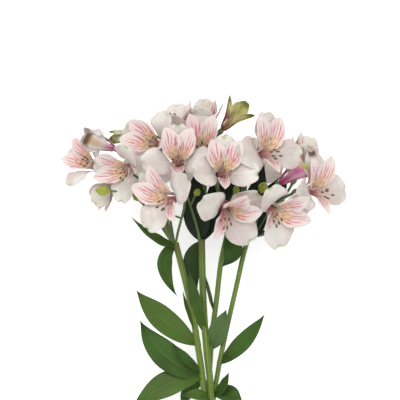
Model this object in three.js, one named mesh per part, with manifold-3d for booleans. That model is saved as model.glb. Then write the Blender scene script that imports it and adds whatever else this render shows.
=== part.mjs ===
// A gathered bunch of four cut alstroemeria stems, laid down on a surface, in millimetres.
// Bunch frame: +X across, +Y up along the bunch towards the heads, +Z to the side that faces up when it
// lies down. Its origin is between the four whorls from which the flower stalks spring.
import * as THREE from "three";
import Module from "manifold-3d";

const wasm = await Module();
wasm.setup();

// ---------------------------------------------------------------- driving dimensions
const GAP = 0.3; // clearance between pieces that touch
const SEAT = 0.5; // from an ovary's top to the flower on it
const LEAN = 8.5; // degrees that the bunch rises from its cut ends to its heads
const LIFT = 52; // height of the bunch frame's origin over the surface
const PETAL_THICK = 0.7;
const LEAF_THICK = 0.8;
const OVARY_LONG = 9;
const RAY_RADIUS = 1.15;
const TIE = { x: 7, y: -158, z: 0, inner: 7.9, thick: 1.3, wide: 5, sides: 16 };

// The six tepals of a flower: where each claw stands on the ovary and where its blade turns to, in degrees
// from the flower's upper side, its size, and how far it flares from the flower's axis.
const TEPALS = [
  { outer: true, root: 0, turn: 0, long: 45, wide: 13.5, flare: 56 },
  { outer: true, root: 120, turn: 100, long: 46, wide: 14.5, flare: 60 },
  { outer: true, root: -120, turn: -100, long: 46, wide: 14.5, flare: 60 },
  { outer: false, root: 60, turn: 26, long: 46, wide: 9.8, flare: 46 },
  { outer: false, root: -60, turn: -26, long: 46, wide: 9.8, flare: 46 },
  { outer: false, root: 180, turn: 180, long: 40, wide: 6.4, flare: 36 },
];
const OUTER = { claw: 3.0, half: 1.7, base: 11, reach: 0.3, round: 2.6, cup: 0.1, columns: 3 };
const INNER = { claw: 2.6, half: 1.5, base: 3, reach: 0.28, round: 2.2, cup: 0.2, columns: 2 };
const WRAPPED = { ...OUTER, half: 3.2, cup: 0.5, columns: 2 };

// Four stems: the line of each stalk from its cut end to its whorl, then what grows on it.
const STEMS = [
  {
    name: "stem_left",
    radius: 2.8,
    line: [[-15, -342, 1.4], [-4, -250, 2], [4.2, -158, 2.9], [2.8, -125, 4], [-2, -90, 4],
      [-8.2, -54, 3], [-17.4, -16, 1], [-21.5, 0, 0]],
    leaves: [
      { at: -89, tip: [-56, -41, 14], sag: [-9, -2, 8], wide: 11, face: [0.25, 0.2, 1] },
      { at: -118, tip: [-52.5, -67.5, 10], sag: [-15, -7, 9], wide: 12, face: [0.3, 0.1, 1] },
      { at: -117, tip: [-62, -148, 6], sag: [-1, 15, 12], wide: 11.5, face: [-0.1, 0.45, 1] },
      { at: -114, tip: [-26, -86, 20], sag: [1, -4, 4], wide: 4.6, face: [0.5, 0.5, 1] },
      { at: -78, tip: [-15, -42, 15], sag: [-3, 0, 3], wide: 3.6, face: [1, 0.2, 0.5] },
      { at: -1, tip: [-60, 23, 16], sag: [1, -13, 5], wide: 6.5, face: [0.3, 0.8, 0.6] },
      { at: -1, tip: [-20, -47, 9], sag: [-22, 9, 5], wide: 7.5, face: [0.5, 0, 0.8] },
      { at: -122, tip: [-15, -146, -10], sag: [-8, 6, -2], wide: 6, face: [0.3, 0.3, 1] },
    ],
  },
  {
    name: "stem_middle",
    radius: 3.0,
    line: [[12, -350, 2.75], [11.6, -250, 3], [10.4, -158, 2.9], [9.2, -125, 4], [5.8, -94, 3],
      [2.8, -50, 0], [1.4, 3, -2]],
    leaves: [
      { at: -80, tip: [-10, -22, 9], sag: [-2, 0, 4], wide: 5.5, face: [-0.3, 0, 1] },
      { at: 1, tip: [-2, -46, -12], sag: [-13, 8, -4], wide: 8.5, face: [0.2, 0, 1] },
      { at: 2, tip: [-4, 64, -2], sag: [-4, -6, 2], wide: 12, face: [-0.1, 0, 1] },
      { at: 2, tip: [18, 72, -18], sag: [5, -7, -4], wide: 9.5, face: [0.1, 0.2, 1] },
      { at: -137, tip: [-15.5, -134, 12], sag: [0, 5, 10], wide: 5.5, face: [0, 0.7, 1] },
    ],
  },
  {
    name: "stem_right",
    radius: 2.3,
    line: [[0, -338, 0.05], [2.4, -250, -2.2], [4.4, -158, -3], [7.5, -125, -3.4], [11, -77, -3],
      [14.6, -50, -4], [18.6, -16, -6], [24, 8, -8]],
    leaves: [
      { at: -62, tip: [5, -29, -2], sag: [-2, 0, 2], wide: 3.4, face: [0.9, 0, 0.5] },
      { at: -93, tip: [23, -58, 16], sag: [1, 0, 5], wide: 8.5, face: [-0.1, 0.1, 1] },
      { at: 6, tip: [19, -21, 12], sag: [14, 2, 7], wide: 9, face: [0.25, 0.1, 1] },
      { at: 7, tip: [70, 58, -16], sag: [2, -6, -6], wide: 10, face: [-0.2, 0, 1] },
      { at: 7, tip: [38, 74, -18], sag: [-1, -2, -4], wide: 11.5, face: [-0.2, 0, 1] },
    ],
  },
  {
    name: "stem_far_right",
    radius: 2.2,
    line: [[26, -330, -1.05], [16.5, -250, -2.8], [10, -158, -3], [16, -112, -2], [22.3, -81, -1],
      [31.4, -41, -2], [40, -4, -3], [44, 7, -4]],
    leaves: [
      { at: -106, tip: [57, -62, 12], sag: [4, -4, 6], wide: 7.6, face: [-0.3, 0.25, 1] },
      { at: -135, tip: [25, -113, 22], sag: [4, -3, 2], wide: 5.5, face: [-0.6, 0.2, 0.8] },
      { at: -132, tip: [37, -138, 10], sag: [2, 5, 8], wide: 8, face: [0.1, 0.5, 1] },
      { at: 5, tip: [82, 20, -22], sag: [-2, -8, -5], wide: 7.5, face: [-0.3, 0.9, 0.2] },
      { at: 5, tip: [78, 58, -12], sag: [2, -7, -5], wide: 9, face: [0, 0.2, 1] },
      { at: 6, tip: [57, 70, -4], sag: [-3, -6, -2], wide: 11, face: [-0.2, 0, 1] },
    ],
  },
];

// Open flowers: the stem that carries each, the place of its ovary's top, the heading and tilt of its axis
// from the bunch's front, the heading of its upper side, and its size and openness. Half-open flowers and
// those under the bunch have plainer tepals.
const BLOOMS = [
  { stem: 0, at: [-18, 40.5, 26], heading: 188, tilt: 36, up: 138, size: 1.0, open: 1.08 },
  { stem: 2, at: [17, 57, 32], heading: 62, tilt: 22, up: 87, size: 0.91, open: 0.96 },
  { stem: 2, at: [19.5, 36, 22], heading: -62, tilt: 33, up: 48, size: 1.02, open: 0.98 },
  { stem: 3, at: [56, 36, 22], heading: -40, tilt: 44, up: 8, size: 1.0, open: 1.05 },
  { stem: 3, at: [47, 75.5, 14], heading: 25, tilt: 40, up: 91, size: 1.02, open: 1.08 },
  { stem: 1, at: [-18, 65, 18], heading: 96, tilt: 25, up: 90, size: 0.95, open: 0.95 },
  { stem: 1, at: [2, 74, -4], heading: 90, tilt: 32, up: 90, size: 0.95, open: 0.92 },
  { stem: 1, at: [-32, 83.5, 3], heading: 155, tilt: 34, up: 155, size: 0.92, open: 0.95 },
  { stem: 0, at: [-55.5, 69, 8], heading: 206, tilt: 42, up: 176, size: 0.87, open: 0.88 },
  { stem: 0, at: [-87.5, 64, -9], heading: 150, tilt: 52, up: 146, size: 0.8, open: 0.93 },
  { stem: 1, at: [6, 93, -12], heading: 92, tilt: 76, up: 340, size: 0.75, open: 0.38, plain: true },
  { stem: 1, at: [-17.5, 86.5, -9], heading: 95, tilt: 74, up: 342, size: 0.84, open: 0.5, plain: true },
  { stem: 3, at: [87.5, 45, 0], heading: 10, tilt: 49, up: 100, size: 1.0, open: 1.12 },
  { stem: 3, at: [84, 58, -18], heading: 70, tilt: 76, up: 168, size: 0.84, open: 0.3, plain: true },
  { stem: 0, at: [-72.5, 55.5, -4], heading: 224, tilt: 98, up: 18, size: 0.68, open: 0.28, plain: true },
  { stem: 0, at: [-40, 60, -28], heading: 150, tilt: 154, up: 90, size: 0.88, open: 0.95, plain: true },
  { stem: 1, at: [4, 60, -26], heading: 90, tilt: 158, up: 90, size: 0.92, open: 0.95, plain: true },
  { stem: 3, at: [40, 62, -28.5], heading: 40, tilt: 154, up: 90, size: 0.84, open: 0.95, plain: true },
];

// Flowers that are still opening, placed as the open ones are. The width of their outer tepals is a share of
// an open flower's.
const OPENING = [
  { stem: 0, at: [-75.5, 83, 8], heading: 157, tilt: 70, up: 333, size: 0.7, open: 0.02, broad: 1.2 },
  { stem: 1, at: [-58, 96, -14], heading: 190, tilt: 80, up: 0, size: 0.5, open: 0.08, broad: 0.68 },
  { stem: 3, at: [71, 53.5, 1], heading: 36, tilt: 70, up: 12, size: 0.76, open: 0.25, broad: 0.68 },
  { stem: 2, at: [20, 100.5, -10], heading: 50, tilt: 76, up: 202, size: 0.73, open: 0.42, broad: 0.68 },
];

// Green buds: the ray that each forks from (an index in BLOOMS), its foot, heading, tilt and length.
const BUDS = [
  { ray: 8, at: [-80, 46, 16], heading: 178, tilt: 76, long: 12 },
  { ray: 4, at: [55, 45, 2], heading: 80, tilt: 40, long: 12 },
  { ray: 5, at: [-4, 42, 10], heading: 60, tilt: 50, long: 8 },
  { ray: 2, at: [30, 44, 4], heading: 60, tilt: 60, long: 8 },
  { ray: 0, at: [-52, 38, 8], heading: 150, tilt: 70, long: 9 },
];

// ---------------------------------------------------------------- small tools
const radians = THREE.MathUtils.degToRad;
const vector = ([x, y, z]) => new THREE.Vector3(x, y, z);
const steps = (count) => Array.from({ length: count }, (_, i) => i);
const smooth = (from, to, x) => THREE.MathUtils.smoothstep(x, from, to);
const lay = new THREE.Matrix4().makeRotationX(radians(LEAN)).setPosition(0, 0, LIFT);

/** A repeatable draw from -1 to 1 that differs for each pair of whole numbers. */
function draw(a, b) {
  const value = Math.sin(a * 12.9898 + b * 78.233 + 4.1) * 43758.5453;
  return (value - Math.floor(value)) * 2 - 1;
}

/** Unit vector for a heading in the bunch's X-Y plane and a tilt away from its front. */
function pointing(heading, tilt) {
  const [h, t] = [radians(heading), radians(tilt)];
  return new THREE.Vector3(Math.sin(t) * Math.cos(h), Math.sin(t) * Math.sin(h), Math.cos(t));
}

/** Where a flower stands: +Z along its axis from the ovary's top, +Y to its upper side. */
function placeOf({ at, heading, tilt, up }) {
  const axis = pointing(heading, tilt);
  const upper = pointing(up, 90).projectOnPlane(axis).normalize();
  const place = new THREE.Matrix4().makeBasis(upper.clone().cross(axis), upper, axis);
  return place.setPosition(vector(at));
}

/** A solid from the corners and triangles of a closed surface, with its faces turned outwards. */
function solidOf(corners, faces) {
  const vertProperties = new Float32Array(corners.flatMap((p) => p.toArray()));
  const made = (triVerts) => new wasm.Manifold(new wasm.Mesh({ numProp: 3, vertProperties, triVerts }));
  const solid = made(new Uint32Array(faces));
  return solid.volume() > 0 ? solid : made(new Uint32Array(faces).reverse());
}

/** A closed solid over rings of points, each of the same count, with a strip across each end ring. The second
 * half of a ring is split the other way, so that both faces of a blade have the same triangles. */
function skin(rings) {
  const count = rings[0].length;
  const faces = [];
  for (let r = 0; r + 1 < rings.length; r++)
    for (let i = 0; i < count; i++) {
      const [a, b] = [r * count + i, r * count + ((i + 1) % count)];
      if (i < count / 2) faces.push(a, b, b + count, a, b + count, a + count);
      else faces.push(a, b, a + count, b, b + count, a + count);
    }
  const last = (rings.length - 1) * count;
  for (let i = 0; i + 1 <= count - 2 - i; i++) {
    const [a, b, c, d] = [i, i + 1, count - 2 - i, count - 1 - i];
    faces.push(last + a, last + b, last + d, a, d, b);
    if (b < c) faces.push(last + b, last + c, last + d, b, d, c);
  }
  return solidOf(rings.flat(), faces);
}

/** A rod along a curve of the bunch frame, through profile's pairs of a share of its length and a radius. */
function rod(curve, profile, sides, grow) {
  const fine = 50;
  const frames = curve.computeFrenetFrames(fine, false);
  return skin(profile.map(([share, radius], i) => {
    const k = Math.round(share * fine);
    const centre = curve.getPointAt(k / fine);
    if (i === 0) centre.addScaledVector(frames.tangents[k], -grow);
    if (i === profile.length - 1) centre.addScaledVector(frames.tangents[k], grow);
    return steps(sides).map((side) => {
      const angle = (2 * Math.PI * side) / sides;
      return centre.clone()
        .addScaledVector(frames.normals[k], (radius + grow) * Math.cos(angle))
        .addScaledVector(frames.binormals[k], (radius + grow) * Math.sin(angle))
        .applyMatrix4(lay);
    });
  }));
}

/** The same radius at evenly spaced shares of a rod's length. */
const even = (radius, count) => steps(count + 1).map((i) => [i / count, radius]);

/** A thin blade: sheet(t, u) is its middle in the bunch frame, t from root to tip and u across from -1 to 1.
 * What would sink into the surface under the bunch lies flat on it. */
function blade(sheet, rows, columns, thick, grow) {
  const small = 0.01;
  const half = thick / 2;
  return skin(rows.map((t) => {
    const pairs = steps(columns + 1).map((k) => {
      const u = (2 * k) / columns - 1;
      const middle = sheet(t, u);
      const along = sheet(Math.min(t + small, 1), u).sub(sheet(Math.max(t - small, 0), u)).normalize();
      const across = sheet(t, u + small).sub(sheet(t, u - small)).normalize();
      const normal = across.clone().cross(along).normalize();
      const faces = [half, -half].map((h) => middle.clone().addScaledVector(normal, h).applyMatrix4(lay).z);
      const sunk = Math.max(0, -Math.min(...faces));
      if (Math.abs(u) === 1) middle.addScaledVector(across, u * grow);
      if (t === 0 || t === 1) middle.addScaledVector(along, 2 * (t - 0.5) * grow);
      return [half + grow, -half - grow].map((h) => {
        const point = middle.clone().addScaledVector(normal, h).applyMatrix4(lay);
        return point.setZ(point.z + sunk);
      });
    });
    return [...pairs.map((p) => p[0]), ...pairs.map((p) => p[1]).reverse()];
  }));
}

const joined = (solids) => solids.reduce((all, next) => all.add(next));

/** The largest body of a solid: scraps that a cut leaves loose are dropped. */
function largest(solid) {
  return solid.decompose().reduce((best, next) => (next.volume() > best.volume() ? next : best));
}

// ---------------------------------------------------------------- flowers
/** Distance from the flower's axis, height over the ovary and lean of a tepal's midline at a share of it. */
function midline(tepal, share, open) {
  const count = 24;
  const lean = (s) => radians(
    tepal.form.base + 4 * open + tepal.flare * open * smooth(0.18, 0.72, s) + 14 * open * s ** 4
      + (1 - open) * (18 - 42 * s),
  );
  let [out, height] = [tepal.form.claw * tepal.size, 0];
  for (let i = 0; i < count; i++) {
    const angle = lean((share * (i + 0.5)) / count);
    out += (tepal.long * share * Math.sin(angle)) / count;
    height += (tepal.long * share * Math.cos(angle)) / count;
  }
  return [out, height, lean(share)];
}

/** The middle of a tepal's blade in the flower's own frame. */
function tepalSheet(tepal, open, ripple) {
  const { reach, round, cup } = tepal.form;
  const half = tepal.form.half * tepal.size;
  return (t, u) => {
    const share = t - reach * t ** 2 * Math.min(1, Math.abs(u)) ** round;
    const [out, height, lean] = midline(tepal, share, open);
    const width = half + (tepal.wide - half) * smooth(0.16, 0.88, t);
    const curve = THREE.MathUtils.lerp(0.1, cup, smooth(0.1, 0.5, t)) * width * u * u;
    const inward = curve + ripple * t * t * u * Math.sin(7 * t + 2 * ripple);
    const turn = radians(THREE.MathUtils.lerp(tepal.root, tepal.turn, smooth(0, 1, t)));
    const radial = out - inward * Math.cos(lean);
    return new THREE.Vector3(
      radial * Math.sin(turn) + u * width * Math.cos(turn),
      radial * Math.cos(turn) - u * width * Math.sin(turn),
      height + inward * Math.sin(lean),
    );
  };
}

/** The tepals of one flower, each a little different, scaled to the flower's size. */
function tepalsOf(flower, index) {
  return TEPALS.map((tepal, k) => ({
    ...tepal,
    form: tepal.outer ? OUTER : INNER,
    size: flower.size,
    turn: tepal.turn + 4 * draw(index, k),
    long: tepal.long * flower.size * (1 + 0.04 * draw(index, k + 10)),
    wide: tepal.wide * flower.size * (1 + 0.05 * draw(index, k + 20)),
    flare: tepal.flare + 6 * draw(index, k + 30),
    ripple: 0.9 * draw(index, k + 40),
  }));
}

function tepalSolid(tepal, flower, grow) {
  const place = placeOf(flower);
  const sheet = tepalSheet(tepal, flower.open, tepal.ripple);
  const rows = flower.plain ? [0, 0.5, 1] : [0, 0.34, 0.7, 1];
  const columns = flower.plain ? 2 : tepal.form.columns;
  return blade((t, u) => sheet(t, u).applyMatrix4(place), rows, columns, PETAL_THICK, grow);
}

/** An open flower: six tepals that overlap at their claws. */
function bloom(flower, index, grow) {
  return joined(tepalsOf(flower, index).map((tepal) => tepalSolid(tepal, flower, grow)));
}

/** A flower still opening: three outer tepals round the closed inner ones. */
function openingBloom(flower, index, grow) {
  const place = placeOf(flower);
  const wrap = (tepal) => ({ ...tepal, form: WRAPPED, turn: tepal.root, wide: tepal.wide * flower.broad });
  const outer = tepalsOf(flower, index + 50).slice(0, 3).map((t) => tepalSolid(wrap(t), flower, grow));
  const heart = new THREE.LineCurve3(
    new THREE.Vector3(0, 0, 0).applyMatrix4(place),
    new THREE.Vector3(0, 0, 40 * flower.size).applyMatrix4(place),
  );
  const girth = [[0, 3.2], [0.4, 3.2], [1, 0.8]].map(([share, r]) => [share, r * flower.size]);
  return joined([rod(heart, girth, 5, grow), ...outer]);
}

/** Six stamens that lean towards the flower's lower side, on one short column. */
function stamens(flower, index) {
  const place = placeOf(flower);
  const at = (x, y, z) => new THREE.Vector3(x, y, z).multiplyScalar(flower.size).applyMatrix4(place);
  const column = rod(new THREE.LineCurve3(at(0, 0, 0.4), at(0, 0, 2.2)), even(1.5, 1), 6, 0);
  const parts = steps(6).map((k) => {
    const angle = radians(60 * k + 9 * draw(index, k + 60));
    const [side, rise] = [Math.sin(angle), Math.cos(angle)];
    const tip = [5.6 * side, 4.2 * rise - 6.5, 32 + 3 * draw(index, k + 70)];
    const line = [at(0.9 * side, 0.9 * rise, 1.4), at(1.8 * side, 1.6 * rise - 1.6, 17), at(...tip)];
    return rod(new THREE.QuadraticBezierCurve3(...line), [[0, 0.4], [0.5, 0.4], [0.92, 1.3], [1, 0.5]], 3, 0);
  });
  return joined([column, ...parts]);
}

// ---------------------------------------------------------------- stems
/** The point of a stalk's line at a height y. */
function stalkPoint(curve, y) {
  let [low, high] = [0, 1];
  for (let i = 0; i < 24; i++) {
    const middle = (low + high) / 2;
    if (curve.getPointAt(middle).y < y) low = middle;
    else high = middle;
  }
  return curve.getPointAt(low);
}

/** The line of one flower's stalk, from the whorl to the top of its ovary. */
function rayCurve(whorl, flower) {
  const axis = pointing(flower.heading, flower.tilt);
  const end = vector(flower.at).addScaledVector(axis, -SEAT);
  const span = end.distanceTo(whorl);
  const aside = end.clone().sub(whorl).setY(0).normalize();
  const start = whorl.clone().addScaledVector(aside, 1.4).add(new THREE.Vector3(0, -2.5, 0));
  const rise = start.clone().lerp(end, 0.3).add(new THREE.Vector3(0, span * 0.12, 0));
  return new THREE.CubicBezierCurve3(start, rise, end.clone().addScaledVector(axis, -span * 0.4), end);
}

/** A flower's stalk, which widens at its end to the ovary. */
function ray(whorl, flower, grow) {
  const curve = rayCurve(whorl, flower);
  const length = curve.getLength();
  const back = (distance, radius) => [1 - (distance * flower.size) / length, radius * flower.size];
  const stalk = [[0, RAY_RADIUS], [0.3, RAY_RADIUS], back(OVARY_LONG + 4, RAY_RADIUS)];
  return rod(curve, [...stalk, back(OVARY_LONG, 1.4), back(3.5, 3.4), [1, 2.9]], 4, grow);
}

/** A closed green bud at the end of a thin stalk that forks from a ray. */
function bud({ at, heading, tilt, long }, parent, grow) {
  const foot = vector(at);
  const axis = pointing(heading, tilt);
  const fork = parent.getPoint(0.4);
  const tip = foot.clone().addScaledVector(axis, long);
  const bend = foot.clone().addScaledVector(axis, -0.4 * foot.distanceTo(fork));
  const curve = new THREE.CubicBezierCurve3(fork, bend, foot, tip);
  const share = long / curve.getLength();
  const body = [[0.95, 0.12], [0.62, 0.36], [0.3, 0.33], [0, 0.08]];
  const profile = body.map(([s, girth]) => [1 - s * share, girth * long]);
  return rod(curve, [[0, 0.9], ...profile], 5, grow);
}

/** A lance-shaped leaf that leaves its stalk narrow, turns its face and arches over sag to its tip. */
function leafSheet(curve, { at, tip, sag, wide, face }) {
  const root = stalkPoint(curve, at);
  const end = vector(tip);
  const bend = root.clone().lerp(end, 0.5).add(vector(sag));
  const line = new THREE.QuadraticBezierCurve3(root, bend, end);
  const front = vector(face).normalize();
  return (t, u) => {
    const along = line.getTangent(t);
    const normal = front.clone().projectOnPlane(along).normalize();
    const across = along.clone().cross(normal);
    const width = wide * (0.1 + 0.9 * Math.sin(Math.PI * t ** 0.85) ** 0.9) * (1 - 0.9 * t ** 8);
    const fold = 0.16 * Math.abs(u) * width + 0.1 * u * width * Math.sin(5 * t + wide);
    return line.getPoint(t).addScaledVector(across, u * width).addScaledVector(normal, fold);
  };
}

function leaf(curve, form, grow) {
  return blade(leafSheet(curve, form), [0, 0.18, 0.45, 0.75, 1], 2, LEAF_THICK, grow);
}

/** What one stem holds before its leaves: stalk, rays, ovaries and buds. */
function stemCore(stem, number, curve, grow) {
  const whorl = curve.getPointAt(1);
  const mine = (flower) => flower.stem === number;
  const stalk = rod(curve, even(stem.radius, 10), 6, grow);
  const rays = [...BLOOMS, ...OPENING].filter(mine).map((flower) => ray(whorl, flower, grow));
  const buds = BUDS.filter((form) => mine(BLOOMS[form.ray]))
    .map((form) => bud(form, rayCurve(whorl, BLOOMS[form.ray]), grow));
  return joined([stalk, ...rays, ...buds]);
}

// ---------------------------------------------------------------- the tie
/** The elastic band round the four stalks. */
function tie() {
  const { inner, thick, wide, sides } = TIE;
  const section = [[inner, -wide / 2], [inner + thick, -wide / 2], [inner + thick, wide / 2], [inner, wide / 2]];
  const corners = steps(sides).flatMap((k) => section.map(([radius, along]) => {
    const angle = (2 * Math.PI * k) / sides;
    const corner = new THREE.Vector3(radius * Math.sin(angle), along, radius * Math.cos(angle));
    return corner.add(new THREE.Vector3(TIE.x, TIE.y, TIE.z)).applyMatrix4(lay);
  }));
  const count = section.length;
  const faces = steps(sides).flatMap((k) => steps(count).flatMap((i) => {
    const next = ((k + 1) % sides) * count;
    const [a, b, c, d] = [k * count + i, k * count + ((i + 1) % count), next + ((i + 1) % count), next + i];
    return [a, b, c, a, c, d];
  }));
  return solidOf(corners, faces);
}

// ---------------------------------------------------------------- assembly
const MATERIALS = {
  foliage: new THREE.MeshStandardMaterial({ color: 0x4c7a33, roughness: 0.55, metalness: 0 }),
  petal: new THREE.MeshStandardMaterial({ color: 0xf1e6e4, roughness: 0.6, metalness: 0 }),
  opening: new THREE.MeshStandardMaterial({ color: 0xc9c49a, roughness: 0.6, metalness: 0 }),
  stamen: new THREE.MeshStandardMaterial({ color: 0x8a7440, roughness: 0.7, metalness: 0 }),
  elastic: new THREE.MeshStandardMaterial({ color: 0xc8a46a, roughness: 0.8, metalness: 0 }),
};

/** A named mesh in the laid frame, stored about its own place so that it can be lifted out and turned. */
function node(name, solid, material, place) {
  const { vertProperties, triVerts, numProp, numVert } = solid.getMesh();
  const positions = new Float32Array(numVert * 3);
  for (let i = 0; i < numVert; i++) positions.set(vertProperties.subarray(i * numProp, i * numProp + 3), i * 3);
  const geometry = new THREE.BufferGeometry();
  geometry.setAttribute("position", new THREE.BufferAttribute(positions, 3));
  geometry.setIndex(new THREE.BufferAttribute(triVerts, 1));
  const origin = new THREE.Vector3().setFromMatrixPosition(lay.clone().multiply(place));
  geometry.translate(-origin.x, -origin.y, -origin.z);
  geometry.computeVertexNormals();
  const mesh = new THREE.Mesh(geometry, material);
  mesh.name = name;
  mesh.position.copy(origin);
  return mesh;
}

const bunch = new THREE.Group();
const curves = STEMS.map((stem) => new THREE.CatmullRomCurve3(stem.line.map(vector)));
const cores = STEMS.map((stem, n) => stemCore(stem, n, curves[n], 0));
const clearances = STEMS.map((stem, n) => stemCore(stem, n, curves[n], GAP));
let taken = joined(clearances);

STEMS.forEach((stem, n) => {
  const others = clearances.filter((_, m) => m !== n);
  const earlier = clearances.slice(0, n);
  let solid = earlier.reduce((rest, other) => rest.subtract(other), cores[n]);
  const blades = stem.leaves.map((form) => leaf(curves[n], form, 0));
  for (const one of blades) solid = solid.add(others.reduce((rest, other) => rest.subtract(other), one));
  for (const form of stem.leaves) {
    const room = leaf(curves[n], form, GAP);
    clearances[n] = clearances[n].add(room);
    taken = taken.add(room);
  }
  bunch.add(node(stem.name, largest(solid), MATERIALS.foliage, new THREE.Matrix4()));
});

/** Cuts a flower clear of everything in place, adds it to the bunch and keeps its own clearance. */
function settle(name, solid, room, material, flower) {
  const clear = largest(solid.subtract(taken));
  if (room) taken = taken.add(room);
  bunch.add(node(name, clear, material, placeOf(flower)));
}

const label = (index) => String(index + 1).padStart(2, "0");
BLOOMS.forEach((flower, i) =>
  settle(`bloom_${label(i)}`, bloom(flower, i, 0), bloom(flower, i, GAP), MATERIALS.petal, flower));
OPENING.forEach((flower, i) => {
  const room = openingBloom(flower, i, GAP);
  settle(`opening_bloom_${i + 1}`, openingBloom(flower, i, 0), room, MATERIALS.opening, flower);
});
BLOOMS.forEach((flower, i) =>
  settle(`stamens_${label(i)}`, stamens(flower, i), null, MATERIALS.stamen, flower));
bunch.add(node("tie", tie(), MATERIALS.elastic, new THREE.Matrix4().setPosition(TIE.x, TIE.y, TIE.z)));

const box = new THREE.Box3().setFromObject(bunch);
const centre = box.getCenter(new THREE.Vector3());
bunch.position.set(-centre.x, -centre.y, -box.min.z);

export default bunch;
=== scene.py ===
"""Looks of a gathered bunch of four cut alstroemeria stems that lies on a pale floor.

Sizes are in millimetres of the bunch's own frame: +X across, +Y up along the bunch towards the heads and
+Z to the side that faces up. Layout.place turns that frame into the row frame, in metres.
"""

import logging
import math
from contextlib import contextmanager
from dataclasses import dataclass, field, replace
from enum import Enum
from typing import Callable, Iterator, Sequence

import bpy
import numpy as np
from mathutils import Matrix, Vector


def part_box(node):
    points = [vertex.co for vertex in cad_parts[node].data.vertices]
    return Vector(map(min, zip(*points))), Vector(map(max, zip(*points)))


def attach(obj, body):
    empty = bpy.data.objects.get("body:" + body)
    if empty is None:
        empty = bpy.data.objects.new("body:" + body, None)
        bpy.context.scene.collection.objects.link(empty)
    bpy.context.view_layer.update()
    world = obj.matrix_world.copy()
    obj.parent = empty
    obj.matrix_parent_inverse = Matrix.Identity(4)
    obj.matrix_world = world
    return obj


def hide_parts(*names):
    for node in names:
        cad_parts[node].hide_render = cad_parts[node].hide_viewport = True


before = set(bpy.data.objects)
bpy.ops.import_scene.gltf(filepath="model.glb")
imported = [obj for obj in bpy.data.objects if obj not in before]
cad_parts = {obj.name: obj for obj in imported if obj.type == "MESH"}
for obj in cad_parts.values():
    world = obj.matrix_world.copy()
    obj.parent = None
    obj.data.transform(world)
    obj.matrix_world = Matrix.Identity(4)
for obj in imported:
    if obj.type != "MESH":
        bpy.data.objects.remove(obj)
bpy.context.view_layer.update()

LOG = logging.getLogger("alstroemeria")
MM = 0.001
Array = np.ndarray
Triple = tuple[float, float, float]
Colour = tuple[float, float, float]
Piece = bpy.types.Object
Material = bpy.types.Material
Socket = bpy.types.NodeSocket


# ------------------------------------------------------------------ layout
@dataclass(frozen=True)
class Layout:
    """How the bunch lies on the floor.

    Args:
        lean: degrees that the bunch rises from its cut ends to its heads.
        lift: height of the bunch frame's origin over the floor.
        tie: centre of the elastic band in the bunch frame.
    """

    lean: float = 8.5
    lift: float = 52.0
    tie: Triple = (7.0, -158.0, 0.0)

    def laid(self) -> Matrix:
        """Bunch frame to the laid frame, both in millimetres."""
        return Matrix.Translation((0, 0, self.lift)) @ Matrix.Rotation(math.radians(self.lean), 4, "X")

    def place(self) -> Matrix:
        """Bunch frame in millimetres to the row frame in metres, by where the elastic band is."""
        low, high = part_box("tie")
        shift = (low + high) / 2 - MM * (self.laid() @ Vector(self.tie))
        return Matrix.Translation(shift) @ Matrix.Scale(MM, 4) @ self.laid()


LAYOUT = Layout()
PLACE = np.array(LAYOUT.place())


def to_row(points: Array) -> Array:
    """Points of the bunch frame in the row frame.

    Args:
        points: an (n, 3) array in millimetres.

    Returns:
        An (n, 3) array in metres.
    """
    return points @ PLACE[:3, :3].T + PLACE[:3, 3]


def draw(a: float, b: float) -> float:
    """A repeatable draw from -1 to 1 that differs for each pair of whole numbers."""
    value = math.sin(a * 12.9898 + b * 78.233 + 4.1) * 43758.5453
    return (value - math.floor(value)) * 2 - 1


def chance(a: float, b: float) -> float:
    """A repeatable draw from 0 to 1."""
    return 0.5 * draw(a, b) + 0.5


def smooth(low: float, high: float, x: Array) -> Array:
    """A smooth step from 0 at low to 1 at high."""
    t = np.clip((x - low) / (high - low), 0, 1)
    return t * t * (3 - 2 * t)


def unit(v: Array) -> Array:
    """Vectors along the last axis, each made one long."""
    return v / np.maximum(np.linalg.norm(v, axis=-1, keepdims=True), 1e-12)


def pointing(heading: float, tilt: float) -> Array:
    """Unit vector for a heading in the bunch's X-Y plane and a tilt away from its front, in degrees."""
    h, t = math.radians(heading), math.radians(tilt)
    return np.array([math.sin(t) * math.cos(h), math.sin(t) * math.sin(h), math.cos(t)])


# ------------------------------------------------------------------ modelling by operators
def deselect() -> None:
    """Nothing is selected afterwards."""
    if bpy.context.object and bpy.context.object.mode != "OBJECT":
        bpy.ops.object.mode_set(mode="OBJECT")
    bpy.ops.object.select_all(action="DESELECT")


def only(piece: Piece) -> None:
    """One piece is selected and active."""
    deselect()
    piece.select_set(True)
    bpy.context.view_layer.objects.active = piece


@contextmanager
def editing(piece: Piece) -> Iterator[None]:
    """Edit mode on one piece, with the whole of it selected."""
    only(piece)
    bpy.ops.object.mode_set(mode="EDIT")
    bpy.ops.mesh.select_all(action="SELECT")
    yield
    bpy.ops.object.mode_set(mode="OBJECT")


def join(name: str, pieces: Sequence[Piece]) -> Piece:
    """Joins pieces in one object.

    Args:
        name: the name of the joined piece.
        pieces: what it is made of, at least one.

    Returns:
        The joined piece.
    """
    deselect()
    for piece in pieces:
        piece.select_set(True)
    bpy.context.view_layer.objects.active = pieces[0]
    if len(pieces) > 1:
        bpy.ops.object.join()
    pieces[0].name = name
    pieces[0].data.name = name
    return pieces[0]


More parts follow.
